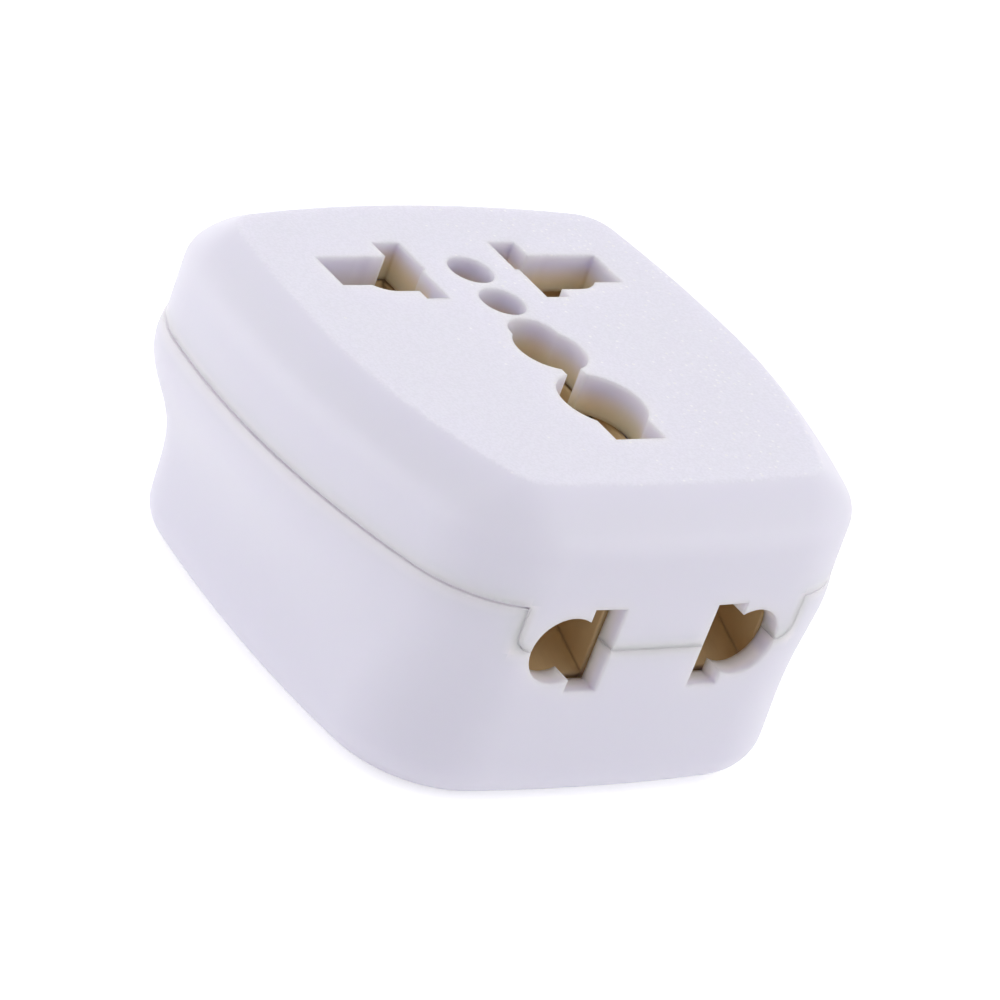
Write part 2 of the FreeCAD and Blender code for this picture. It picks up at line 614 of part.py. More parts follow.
def rivet_places():
    return [(OUTLET_LOBE_X, LINK_RIVET_Y), (-OUTLET_LOBE_X, LINK_RIVET_Y), (BLADE_X, WIPER_RIVET_Y),
            (-BLADE_X, WIPER_RIVET_Y), (0, ROW_Y + EARTH_RIVET_NEAR_Y), (0, ROW_Y + EARTH_RIVET_FAR_Y)]


def make_carrier():
    """Insulating plate that carries the contacts, with partition walls beside the small pin holes."""
    plate = prism(body_outline(CARRIER_Z, WALL + CARRIER_CLEARANCE, GRIP_DEPTH), CARRIER_THICK)
    wall = box(PARTITION_X - PARTITION_THICK / 2, PARTITION_X + PARTITION_THICK / 2, ROW_Y - PARTITION_REACH,
               ROW_Y + PARTITION_REACH, CARRIER_Z, CARRIER_Z + PARTITION_HEIGHT)
    posts = [pillar(BOSS_RADIUS + LIP_CLEARANCE, x, y, 0, BEYOND) for x, y in screw_places()]
    window = box(-EARTH_WINDOW_HALF_WIDTH + FIT, EARTH_WINDOW_HALF_WIDTH - FIT,
                 ROW_Y + EARTH_WINDOW_Y - EARTH_WINDOW_HALF_LENGTH,
                 ROW_Y + EARTH_WINDOW_Y + EARTH_WINDOW_HALF_LENGTH, 0, BEYOND)
    rivets = [pillar(RIVET_RADIUS + FIT / 2, x, y, 0, BEYOND) for x, y in rivet_places()]
    pocket = pillar(RIVET_HEAD_RADIUS + FIT, OUTLET_LOBE_X, LINK_RIVET_Y, BASE_Z - RIVET_HEAD - FIT, BEYOND)
    plate = plate.fuse(both(wall)).removeSplitter()
    return plate.cut(Part.makeCompound(posts + rivets + [window])).cut(both(pocket))


def leaf_line(mouth, lead, pinch, heel):
    """Half profile of a spring leaf: a wide mouth under the guide, a pinch and a heel on the base."""
    height = LEAF_TOP - PINCH_BELOW_TOP
    return [(mouth, LEAF_TOP), (lead, height + PINCH_LEAD), (pinch, height), (heel, LEAF_LOW + HEEL_RISE),
            (heel, LEAF_LOW)]


def make_row_contact():
    """Line or neutral contact on the +X side: spring leaves between two cheeks, a link and a wiper tab."""
    leaf = leaf_line(ROW_MOUTH, LEAD_HALF_GAP, PINCH_HALF_GAP, HEEL_HALF_GAP)
    points = [(ROW_Y - u, v) for u, v in leaf] + [(ROW_Y + u, v) for u, v in reversed(leaf)]
    leaves = strip(points, STRIP, across, ROW_LEAF_INNER_X, ROW_LEAF_OUTER_X)
    half = ROW_MOUTH + STRIP / 2
    inner = ROW_LEAF_INNER_X - CHEEK_GAP
    outer = ROW_LEAF_OUTER_X + CHEEK_GAP
    cheeks = [box(inner - STRIP, inner, ROW_Y - half, ROW_Y + half, BASE_Z, LEAF_TOP),
              box(outer, outer + STRIP, ROW_Y - half, ROW_Y + half, BASE_Z, LEAF_TOP)]
    base = box(inner - STRIP, outer + STRIP, ROW_Y - half, ROW_Y + half, BASE_Z, BASE_Z + STRIP)
    link = box(OUTLET_LOBE_X - LINK_HALF_WIDTH, OUTLET_LOBE_X + LINK_HALF_WIDTH,
               LINK_RIVET_Y - LINK_END, ROW_Y, BASE_Z, BASE_Z + STRIP)
    tab = box(TAB_INNER_X, TAB_OUTER_X, ROW_Y, WIPER_RIVET_Y + RIVET_END, BASE_Z, BASE_Z + STRIP)
    holes = [pillar(RIVET_RADIUS, OUTLET_LOBE_X, LINK_RIVET_Y, 0, BEYOND),
             pillar(RIVET_RADIUS, BLADE_X, WIPER_RIVET_Y, 0, BEYOND)]
    return union([leaves, base, link, tab] + cheeks).cut(Part.makeCompound(holes))


def make_side_contact():
    """Side outlet contact on the +X side, a boxed clip open towards the near end wall, with a tail."""
    front = CLIP_FRONT_Y
    back = CLIP_BACK_Y
    half = [(front, CLIP_MOUTH), (front + CLIP_LEAD, PINCH_HALF_GAP + STRIP),
            (front + CLIP_PINCH, CLIP_PINCH_HALF_GAP), (back, CLIP_BACK_HALF_GAP)]
    points = [(u, OUTLET_Z + v) for u, v in half] + [(u, OUTLET_Z - v) for u, v in reversed(half)]
    inner = OUTLET_SLOT_X - OUTLET_SLOT_WIDTH / 2 - LEAF_GAP
    clip = strip(points, STRIP, across, inner, CLIP_OUTER_X)
    start = inner - CLIP_CHEEK_GAP - STRIP
    end = CLIP_OUTER_X + CLIP_CHEEK_GAP + STRIP
    high = CLIP_CHEEK_HALF_HEIGHT
    low = CLIP_BACK_HALF_GAP + STRIP / 2
    cheeks = [box(start, start + STRIP, front, back, OUTLET_Z - high, OUTLET_Z + high),
              box(end - STRIP, end, front, back, OUTLET_Z - high, OUTLET_Z + high)]
    rear = box(start, end, back - STRIP / 2, back + STRIP / 2, OUTLET_Z - low, OUTLET_Z + low)
    level = BASE_Z + 1.5 * STRIP
    bend = [(back, OUTLET_Z - CLIP_BACK_HALF_GAP), (back, level), (LINK_RIVET_Y + LINK_END, level)]
    tail = strip(bend, STRIP, across, OUTLET_LOBE_X - LINK_HALF_WIDTH, OUTLET_LOBE_X + LINK_HALF_WIDTH)
    hole = pillar(RIVET_RADIUS, OUTLET_LOBE_X, LINK_RIVET_Y, 0, BEYOND)
    return union([clip, rear, tail] + cheeks).cut(hole)


def make_wiper():
    """Leaf under the carrier that the blade's heel meets when the plug is folded out."""
    leaf = box(BLADE_X - WIPER_HALF_WIDTH, BLADE_X + WIPER_HALF_WIDTH, SPINDLE_Y - WIPER_REACH,
               WIPER_RIVET_Y + RIVET_END, CARRIER_Z - WIPER_THICK, CARRIER_Z)
    return leaf.cut(pillar(RIVET_RADIUS, BLADE_X, WIPER_RIVET_Y, 0, BEYOND))


def make_earth_contact():
    """Earth contact: a cup for the earth pin with a window under it, and a smaller cup beside it."""
    pin_leaf = leaf_line(EARTH_MOUTH, LEAD_HALF_GAP, PINCH_HALF_GAP, HEEL_HALF_GAP)
    pin_cup = both(strip(pin_leaf, STRIP, along, ROW_Y + EARTH_LEAF_OUTER_Y, ROW_Y + EARTH_LEAF_INNER_Y))
    near = ROW_Y + EARTH_CUP_NEAR_Y
    far = ROW_Y + EARTH_CUP_FAR_Y
    cup_leaf = leaf_line(EARTH_CUP_MOUTH, LEAD_HALF_GAP, EARTH_CUP_PINCH_HALF_GAP, EARTH_CUP_HEEL_HALF_GAP)
    cup = both(strip(cup_leaf, STRIP, along, near, far))
    half = EARTH_CUP_MOUTH + STRIP / 2
    cheek = box(-half, half, far + CHEEK_GAP, far + CHEEK_GAP + STRIP, BASE_Z, LEAF_TOP)
    middle = ROW_Y + EARTH_WINDOW_Y
    reach = EARTH_WINDOW_HALF_LENGTH + 2 * STRIP
    pin_plate = box(-EARTH_PLATE_HALF_WIDTH, EARTH_PLATE_HALF_WIDTH, middle - reach, middle + reach,
                    BASE_Z, BASE_Z + STRIP)
    cup_plate = box(-half, half, middle, far + CHEEK_GAP + STRIP, BASE_Z, BASE_Z + STRIP)
    plate = pin_plate.fuse(cup_plate).cut(
        box(-EARTH_WINDOW_HALF_WIDTH, EARTH_WINDOW_HALF_WIDTH, middle - EARTH_WINDOW_HALF_LENGTH,
            middle + EARTH_WINDOW_HALF_LENGTH, 0, BEYOND))
    holes = [pillar(RIVET_RADIUS, 0, ROW_Y + y, 0, BEYOND) for y in (EARTH_RIVET_NEAR_Y, EARTH_RIVET_FAR_Y)]
    return union([plate, pin_cup, cup, cheek]).cut(Part.makeCompound(holes))


# fasteners

def rivet(x, y, z0, z1):
    shank = pillar(RIVET_RADIUS, x, y, z0, z1)
    lower = pillar(RIVET_HEAD_RADIUS, x, y, z0 - RIVET_HEAD, z0)
    upper = pillar(RIVET_HEAD_RADIUS, x, y, z1, z1 + RIVET_HEAD)
    return union([shank, lower, upper])


def make_link_rivets():
    return both(rivet(OUTLET_LOBE_X, LINK_RIVET_Y, BASE_Z, BASE_Z + 2 * STRIP))


def make_wiper_rivets():
    return both(rivet(BLADE_X, WIPER_RIVET_Y, CARRIER_Z - WIPER_THICK, BASE_Z + STRIP))


def make_earth_rivets():
    return Part.makeCompound([rivet(0, ROW_Y + y, CARRIER_Z, BASE_Z + STRIP)
                              for y in (EARTH_RIVET_NEAR_Y, EARTH_RIVET_FAR_Y)])


def screw(x, y, z_head, head, radius, head_radius, length):
    """Screw that points up from z_head, with a cross recess in its head."""
    bottom = z_head - head
    cap = pillar(head_radius, x, y, bottom, z_head)
    cap = cap.makeFillet(HEAD_ROUND_SHARE * head, [e for e in cap.Edges if e.BoundBox.ZMax < bottom + 0.01])
    shank = pillar(radius, x, y, z_head, z_head + length)
    reach = DRIVE_SHARE * head_radius
    half = DRIVE_WIDTH / 2
    cross = box(x - reach, x + reach, y - half, y + half, bottom - head, bottom + DRIVE_DEPTH)
    cross = cross.fuse(box(x - half, x + half, y - reach, y + reach, bottom - head, bottom + DRIVE_DEPTH))
    return cap.fuse(shank).cut(cross).removeSplitter()


def make_cover_screws():
    length = BOSS_SPLIT_Z - SCREW_RECESS + SCREW_BITE
    return Part.makeCompound([screw(x, y, SCREW_RECESS, SCREW_HEAD, SCREW_RADIUS, SCREW_HEAD_RADIUS, length)
                              for x, y in screw_places()])


def make_retainer_screws():
    up = screw(0, 0, 0, SMALL_SCREW_HEAD, SMALL_SCREW_RADIUS, SMALL_SCREW_HEAD_RADIUS, SMALL_SCREW_LENGTH)
    down = up.rotate(V(0, 0, 0), V(1, 0, 0), 180)
    down.translate(V(RETAINER_SCREW_X, SPINDLE_Y, CARRIER_Z - SMALL_SCREW_HEAD - FIT))
    return both(down)


def save(name, shape):
    shape.exportStep("parts/" + name + ".step")


save("front_cover", make_front_cover())
save("back_housing", make_back_housing())
save("contact_carrier", make_carrier())
save("plug_spindle", make_spindle())
save("neutral_blade", make_blade())
save("line_blade", mirrored(make_blade()))
save("spindle_retainer", make_retainer())
save("friction_spring", make_friction_spring())
save("neutral_contact", make_row_contact())
save("line_contact", mirrored(make_row_contact()))
save("side_neutral_contact", make_side_contact())
save("side_line_contact", mirrored(make_side_contact()))
save("neutral_wiper", make_wiper())
save("line_wiper", mirrored(make_wiper()))
save("earth_contact", make_earth_contact())
save("link_rivets", make_link_rivets())
save("wiper_rivets", make_wiper_rivets())
save("earth_rivets", make_earth_rivets())
save("cover_screws", make_cover_screws())
save("retainer_screws", make_retainer_screws())
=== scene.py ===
import math

import bpy
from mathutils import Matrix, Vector

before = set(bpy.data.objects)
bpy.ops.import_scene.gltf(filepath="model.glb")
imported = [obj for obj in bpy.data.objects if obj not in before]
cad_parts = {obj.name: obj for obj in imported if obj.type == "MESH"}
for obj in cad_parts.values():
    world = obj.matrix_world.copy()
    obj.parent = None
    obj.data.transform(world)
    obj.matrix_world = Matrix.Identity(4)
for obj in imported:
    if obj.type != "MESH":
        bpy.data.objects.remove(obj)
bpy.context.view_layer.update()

# Finishes. Colours are linear RGB, lengths are metres.
COVER_COLOUR = (0.800, 0.780, 0.900, 1.0)
HOUSING_COLOUR = (0.795, 0.775, 0.893, 1.0)
# The next four colours are painted light: warm brass light deep in the openings, paler outlet
# walls, paler plastic beside the joint lines, and glints on the face.
PAINTED_BRASS_LIGHT_COLOUR = (0.930, 0.790, 0.560, 1.0)
PAINTED_OUTLET_LIGHT_COLOUR = (0.940, 0.890, 0.990, 1.0)
PAINTED_JOINT_LIGHT_COLOUR = (0.925, 0.870, 1.000, 1.0)
PAINTED_GLINT_COLOUR = (0.970, 0.950, 1.000, 1.0)
CARRIER_COLOUR = (0.760, 0.640, 0.450, 1.0)
SPINDLE_COLOUR = (0.760, 0.742, 0.835, 1.0)
BRASS_COLOUR = (0.780, 0.600, 0.340, 1.0)
BRASS_DULL = (0.600, 0.430, 0.220, 1.0)
NICKEL_COLOUR = (0.700, 0.680, 0.640, 1.0)
NICKEL_DULL = (0.520, 0.505, 0.480, 1.0)
STEEL_COLOUR = (0.560, 0.570, 0.580, 1.0)
STEEL_DULL = (0.360, 0.370, 0.380, 1.0)
FLOOR_COLOUR = (0.900, 0.900, 0.900, 1.0)

PLASTIC_IOR = 1.49
SINK_DEPTH = 0.0020
SINK_SPREAD = (1.0, 0.92, 0.97)
HOUSING_ROUND = 0.00055
JOINT_ROUND = 0.00006
CREASE_ROUND = 0.0020
SMALL_PIECE_ROUND = 0.0002
SHEET_ROUND = 0.00012
CONTACT_ROUND = 0.0005
FINE_RELIEF = 0.00001
FACE_RELIEF = 0.00006

# Where the finishes change, in metres. A pair is where a change starts and where it is complete.
FACE_LEVEL = 0.0283
FACE_FADE = 0.00015
SEAM_LEVEL = 0.0192
CREASE_LEVEL = 0.0249
CREASE_FADE = (0.0010, 0.0022)
OUTER_WALLS_FROM = 0.0190
TONGUE_FOOT = 0.01512
TONGUE_SIDE = 0.01433
TONGUE_SIDE_SPAN = (0.0148, 0.0195)
TONGUE_FOOT_REACH = 0.0147
TONGUE_HALF_WIDTH = 0.0143
END_WALL = -0.0230
CRISP_REACH = 0.0004
# How far the painted light beside the joint lines reaches.
PAINTED_JOINT_LIGHT_REACH = 0.0011
FACE_OPENINGS_X = (0.0160, 0.0175)
FACE_OPENINGS_Y = (0.0170, 0.0185)
# Where the painted light lies in the face openings and in the side outlet.
OPENING_WARM = (0.0254, 0.0277)
OPENING_FLOOR = (0.0238, 0.0242)
LINE_WALL_START = (-0.0079, -0.0070)
LINE_WALL_STOP = (-0.0046, -0.0040)
LINE_WALL_LIFT = 0.0006
LINE_SIDE = -0.0040
LINE_FAR_END = (-0.0065, -0.0085)
ROW_START = (0.0084, 0.0094)
COOL_SHARE = 0.7
OUTLET_BOTTOM = (0.0108, 0.0112)
OUTLET_TOP = (0.0192, 0.0196)
OUTLET_MOUTH = (-0.0250, -0.0240)
OUTLET_BACK = (-0.0225, -0.0220)
OUTLET_SIDES = (0.0120, 0.0125)

# Studio. AMBIENT and the lamps' levels are shares of a white surface that faces them.
AMBIENT = 0.40
FLOOR_HALF_WIDTH = 3.0
FLOOR_GAP = 0.00003
FLOOR_LIFT = 0.45
FLOOR_GLOW = 0.14
LAMP_WIDTH = 60.0
LAMPS = [
    ("overhead_lamp", (0.0, 0.0, 1.0), 0.18),
    ("overhead_right_lamp", (0.7, -0.4, 0.6), 0.28),
    ("left_lamp", (-1.0, 0.0, 0.25), 0.18),
    ("left_back_lamp", (-1.0, 1.0, 0.15), 0.31),
    ("back_lamp", (0.0, 1.0, 0.25), 0.19),
    ("right_back_lamp", (1.0, 1.0, 0.3), 0.22),
    ("right_front_lamp", (1.0, -1.0, 0.15), 0.16),
]
CAMERA_PLACE = (-0.348730, -0.366502, 0.263175)
CAMERA_TURN = (62.14926, -18.66739, -34.14434)
CAMERA_LENS = 244.98


# Node helpers

def new_group(name, inputs, outputs):
    """An empty shader node group with named sockets, and its input and output nodes."""
    group = bpy.data.node_groups.new(name, "ShaderNodeTree")
    for label, kind, value in inputs:
        socket = group.interface.new_socket(label, in_out="INPUT", socket_type=kind)
        socket.default_value = value
    for label, kind in outputs:
        group.interface.new_socket(label, in_out="OUTPUT", socket_type=kind)
    start = group.nodes.new("NodeGroupInput")
    end = group.nodes.new("NodeGroupOutput")
    return group, start, end


def maths(tree, operation, first, second=None, clamp=False):
    """A Math node; each operand is a socket or a number."""
    node = tree.nodes.new("ShaderNodeMath")
    node.operation = operation
    node.use_clamp = clamp
    for slot, value in zip(node.inputs, (first, second)):
        if value is None:
            continue
        if isinstance(value, bpy.types.NodeSocket):
            tree.links.new(value, slot)
        else:
            slot.default_value = value
    return node.outputs[0]


def product(tree, *values):
    """All the values multiplied."""
    result = values[0]
    for value in values[1:]:
        result = maths(tree, "MULTIPLY", result, value)
    return result


def opposite(tree, value):
    """One less the value."""
    return maths(tree, "SUBTRACT", 1.0, value)


def distance(tree, value, level):
    """How far a value is from a level."""
    return maths(tree, "ABSOLUTE", maths(tree, "SUBTRACT", value, level))


def ramp(tree, value, change):
    """0 before a change, 1 after it, eased between."""
    node = tree.nodes.new("ShaderNodeMapRange")
    node.interpolation_type = "SMOOTHSTEP"
    tree.links.new(value, node.inputs["Value"])
    node.inputs["From Min"].default_value = change[0]
    node.inputs["From Max"].default_value = change[1]
    return node.outputs["Result"]


def window(tree, value, opens, closes):
    """1 between two changes, 0 outside them."""
    return product(tree, ramp(tree, value, opens), opposite(tree, ramp(tree, value, closes)))


def noise(tree, place, scale, detail=2.0, roughness=0.5):
    """A noise texture read at a place, in cycles per metre."""
    node = tree.nodes.new("ShaderNodeTexNoise")
    tree.links.new(place, node.inputs["Vector"])
    if isinstance(scale, bpy.types.NodeSocket):
        tree.links.new(scale, node.inputs["Scale"])
    else:
        node.inputs["Scale"].default_value = scale
    node.inputs["Detail"].default_value = detail
    node.inputs["Roughness"].default_value = roughness
    return node.outputs["Fac"]


def blend(tree, factor, first, second):
    """A colour between two; each is a socket or a plain colour."""
    mix = tree.nodes.new("ShaderNodeMix")
    mix.data_type = "RGBA"
    tree.links.new(factor, mix.inputs["Factor"])
    for slot, value in ((mix.inputs["A"], first), (mix.inputs["B"], second)):
        if isinstance(value, bpy.types.NodeSocket):
            tree.links.new(value, slot)
        else:
            slot.default_value = value
    return mix.outputs["Result"]


def place_on_part(tree):
    """The place on the adapter, whole and as its x, y and z."""
    place = tree.nodes.new("ShaderNodeTexCoord").outputs["Object"]
    split = tree.nodes.new("ShaderNodeSeparateXYZ")
    tree.links.new(place, split.inputs[0])
    return place, split.outputs["X"], split.outputs["Y"], split.outputs["Z"]


# Shared effects

def spark_texture_group():
    """The pebbled mould texture of the socket face: height, mottled shade and bright tips, which
    are painted glints.
    """
    group, start, end = new_group(
        "Spark texture",
        [("Grain per metre", "NodeSocketFloat", 4200.0),
         ("Tips per metre", "NodeSocketFloat", 1300.0),
         ("Tip size", "NodeSocketFloat", 0.20),
         ("Face level", "NodeSocketFloat", FACE_LEVEL),
         ("Level band", "NodeSocketFloat", FACE_FADE)],
        [("Height", "NodeSocketFloat"), ("Mottle", "NodeSocketFloat"),
         ("Glint", "NodeSocketFloat"), ("Face mask", "NodeSocketFloat")])
    grain = start.outputs["Grain per metre"]
    tip_size = start.outputs["Tip size"]
    place, x, y, z = place_on_part(group)
    coarse = noise(group, place, grain, 2.0, 0.55)
    fine = noise(group, place, product(group, grain, 2.3), 1.0, 0.5)
    height = maths(group, "ADD", product(group, coarse, 0.7), product(group, fine, 0.3))
    above = maths(group, "SUBTRACT", z, start.outputs["Face level"])
    mask = maths(group, "DIVIDE", above, start.outputs["Level band"], clamp=True)
    cells = group.nodes.new("ShaderNodeTexVoronoi")
    cells.voronoi_dimensions = "2D"
    group.links.new(place, cells.inputs["Vector"])
    group.links.new(start.outputs["Tips per metre"], cells.inputs["Scale"])
    near = maths(group, "SUBTRACT", tip_size, cells.outputs["Distance"])
    tip = maths(group, "DIVIDE", near, product(group, tip_size, 0.5), clamp=True)
    chance = group.nodes.new("ShaderNodeSeparateColor")
    group.links.new(cells.outputs["Color"], chance.inputs[0])
    # More painted glints towards +x, where light grazes the face.
    side = maths(group, "ADD", product(group, x, 7.5), 0.10)
    patches = maths(group, "SUBTRACT", noise(group, place, 160.0, 2.0, 0.5), 0.5)
    lively = maths(group, "ADD", side, product(group, patches, 0.4))
    chosen = maths(group, "LESS_THAN", chance.outputs[0], lively)
    bright = maths(group, "ADD", product(group, chance.outputs[1], 0.6), 0.4)
    glint = product(group, product(group, tip, chosen), product(group, mask, bright))
    group.links.new(product(group, height, mask), end.inputs["Height"])
    group.links.new(ramp(group, coarse, (0.34, 0.66)), end.inputs["Mottle"])
    group.links.new(glint, end.inputs["Glint"])
    group.links.new(mask, end.inputs["Face mask"])
    return group


def opening_painted_light_group():
    """Painted light on the walls of the openings: a warm painted reflection from the brass,
    stronger with depth in the face, and paler painted light in the side outlet.
    """
    group, start, end = new_group(
        "Opening painted light", [],
        [("Painted brass light", "NodeSocketFloat"), ("Painted outlet light", "NodeSocketFloat")])
    place, x, y, z = place_on_part(group)
    wide = maths(group, "ABSOLUTE", x)
    inward = opposite(group, ramp(group, wide, FACE_OPENINGS_X))
    middle = opposite(group, ramp(group, maths(group, "ABSOLUTE", y), FACE_OPENINGS_Y))
    line_wall = window(group, x, LINE_WALL_START, LINE_WALL_STOP)
    row = ramp(group, y, ROW_START)
    lift = product(group, product(group, line_wall, row), LINE_WALL_LIFT)
    deep = opposite(group, ramp(group, maths(group, "SUBTRACT", z, lift), OPENING_WARM))
    above_floor = ramp(group, z, OPENING_FLOOR)
    painted_warmth = product(group, product(group, inward, middle), product(group, deep, above_floor))
    line_slot_end = product(group, maths(group, "LESS_THAN", x, LINE_SIDE), opposite(group, row))
    # Less painted brass light on the left of the line slot and at its end.
    for cool in (ramp(group, x, LINE_FAR_END), line_slot_end):
        painted_warmth = product(group, painted_warmth, opposite(group, product(group, cool, COOL_SHARE)))
    # Paler painted light on the side outlet's walls.
    level = window(group, z, OUTLET_BOTTOM, OUTLET_TOP)
    inside = window(group, y, OUTLET_MOUTH, OUTLET_BACK)
    between_sides = opposite(group, ramp(group, wide, OUTLET_SIDES))
    group.links.new(painted_warmth, end.inputs["Painted brass light"])
    group.links.new(product(group, level, inside, between_sides), end.inputs["Painted outlet light"])
    return group


def joint_line_group():
    """Crisp edges and paler painted light beside the housings' joint lines, and the outer crease.
    """
    group, start, end = new_group(
        "Joint line",
        [("Reach", "NodeSocketFloat", CRISP_REACH), ("Rub reach", "NodeSocketFloat", PAINTED_JOINT_LIGHT_REACH)],
        [("Crisp", "NodeSocketFloat"), ("Painted joint light", "NodeSocketFloat"), ("Crease", "NodeSocketFloat")])
    place, x, y, z = place_on_part(group)

    def beside(value, level):
        return maths(group, "LESS_THAN", distance(group, value, level), start.outputs["Reach"])

    # Painted light beside a line, fading away from it.
    def fading(value, level):
        share = maths(group, "DIVIDE", distance(group, value, level),
                      start.outputs["Rub reach"], clamp=True)
        return maths(group, "POWER", opposite(group, share), 1.3)

    wide = maths(group, "ABSOLUTE", x)
    end_wall = maths(group, "LESS_THAN", y, END_WALL)
    over_foot = maths(group, "LESS_THAN", wide, TONGUE_FOOT_REACH)
    on_tongue = product(group, maths(group, "LESS_THAN", wide, TONGUE_HALF_WIDTH), end_wall)
    beside_side = product(group, maths(group, "GREATER_THAN", z, TONGUE_SIDE_SPAN[0]),
                          maths(group, "LESS_THAN", z, TONGUE_SIDE_SPAN[1]))
    for label, line in (("Crisp", beside), ("Painted joint light", fading)):
        foot = product(group, line(z, TONGUE_FOOT), over_foot)
        side = product(group, line(wide, TONGUE_SIDE), beside_side)
        tongue = product(group, maths(group, "MAXIMUM", foot, side), end_wall)
        seam = product(group, line(z, SEAM_LEVEL), opposite(group, on_tongue))
        group.links.new(maths(group, "MAXIMUM", seam, tongue), end.inputs[label])
    reach = maths(group, "MAXIMUM", wide, maths(group, "ABSOLUTE", y))
    outer = maths(group, "GREATER_THAN", reach, OUTER_WALLS_FROM)
    crease = opposite(group, ramp(group, distance(group, z, CREASE_LEVEL), CREASE_FADE))
    group.links.new(product(group, outer, crease), end.inputs["Crease"])
    return group


def moulding_tone_group():
    """Slow, slight change of shade over a moulding, and its satin unevenness."""
    group, start, end = new_group(
        "Moulding tone",
        [("Clean", "NodeSocketColor", (0.8, 0.8, 0.8, 1.0)),
         ("Shade", "NodeSocketColor", (0.7, 0.7, 0.7, 1.0)),
         ("Patches per metre", "NodeSocketFloat", 70.0),
         ("Strength", "NodeSocketFloat", 0.3)],
        [("Colour", "NodeSocketColor"), ("Satin", "NodeSocketFloat")])
    place = place_on_part(group)[0]
    patches = noise(group, place, start.outputs["Patches per metre"], 3.0, 0.5)
    factor = product(group, patches, start.outputs["Strength"])
    colour = blend(group, factor, start.outputs["Clean"], start.outputs["Shade"])
    group.links.new(colour, end.inputs["Colour"])
    group.links.new(noise(group, place, 1800.0), end.inputs["Satin"])
    return group


def drawn_metal_group():
    """Sheet metal as it leaves the press: rolling lines, dull patches and their roughness."""
    group, start, end = new_group(
        "Drawn metal",
        [("Bright", "NodeSocketColor", (0.7, 0.7, 0.7, 1.0)),
         ("Dull", "NodeSocketColor", (0.4, 0.4, 0.4, 1.0)),
         ("Lines per metre", "NodeSocketFloat", 9000.0),
         ("Smooth", "NodeSocketFloat", 0.22),
         ("Rough", "NodeSocketFloat", 0.45)],
        [("Colour", "NodeSocketColor"), ("Roughness", "NodeSocketFloat"),
         ("Height", "NodeSocketFloat")])
    smooth = start.outputs["Smooth"]
    place = place_on_part(group)[0]
    stretch = group.nodes.new("ShaderNodeMapping")
    stretch.inputs["Scale"].default_value = (1.0, 0.04, 0.04)
    group.links.new(place, stretch.inputs["Vector"])
    lines = noise(group, stretch.outputs["Vector"], start.outputs["Lines per metre"], 2.0, 0.6)
    patches = noise(group, place, 260.0, 3.0, 0.6)
    streaks = maths(group, "ADD", product(group, lines, 0.6), 0.5)
    worn = maths(group, "MULTIPLY", patches, streaks, clamp=True)
    colour = blend(group, worn, start.outputs["Bright"], start.outputs["Dull"])
    spread = maths(group, "SUBTRACT", start.outputs["Rough"], smooth)
    rough = maths(group, "ADD", smooth, product(group, spread, patches), clamp=True)
    group.links.new(colour, end.inputs["Colour"])
    group.links.new(rough, end.inputs["Roughness"])
    group.links.new(lines, end.inputs["Height"])
    return group


SPARK_TEXTURE = spark_texture_group()
OPENING_PAINTED_LIGHT = opening_painted_light_group()
JOINT_LINE = joint_line_group()
MOULDING_TONE = moulding_tone_group()
DRAWN_METAL = drawn_metal_group()


# Materials

def new_material(name):
    """A material with only a Principled BSDF joined to its output."""
    material = bpy.data.materials.new(name)
    material.use_nodes = True
    tree = material.node_tree
    tree.nodes.clear()
    shader = tree.nodes.new("ShaderNodeBsdfPrincipled")
    end = tree.nodes.new("ShaderNodeOutputMaterial")
    tree.links.new(shader.outputs["BSDF"], end.inputs["Surface"])
    return material, tree, shader


def place_group(tree, group, **values):
    """One shared effect set in a material with that material's own values."""
    node = tree.nodes.new("ShaderNodeGroup")
    node.node_tree = group
    for label, value in values.items():
        node.inputs[label.replace("_", " ")].default_value = value
    return node


def bump(tree, height, relief, strength, normal):
    """A fine relief added to a normal."""
    node = tree.nodes.new("ShaderNodeBump")
    node.inputs["Strength"].default_value = strength
    node.inputs["Distance"].default_value = relief
    tree.links.new(height, node.inputs["Height"])
    tree.links.new(normal, node.inputs["Normal"])
    return node.outputs["Normal"]


def soft_arris(tree, radius):
    """The small radius of an edge; a socket gives one that changes from place to place."""
    node = tree.nodes.new("ShaderNodeBevel")
    node.samples = 4
    if isinstance(radius, bpy.types.NodeSocket):
        tree.links.new(radius, node.inputs["Radius"])
    else:
        node.inputs["Radius"].default_value = radius
    return node.outputs["Normal"]


def housing_arris(tree):
    """Soft edges all over a housing, crisp beside its joint lines and rounder at its crease."""
    line = place_group(tree, JOINT_LINE, Reach=CRISP_REACH)
    drop = product(tree, line.outputs["Crisp"], HOUSING_ROUND - JOINT_ROUND)
    rise = product(tree, line.outputs["Crease"], CREASE_ROUND - HOUSING_ROUND)
    radius = maths(tree, "ADD", maths(tree, "SUBTRACT", HOUSING_ROUND, drop), rise)
    return soft_arris(tree, radius)


def shade_of(colour, share):
    """A colour made darker or lighter."""
    return tuple(channel * share for channel in colour[:3]) + (1.0,)


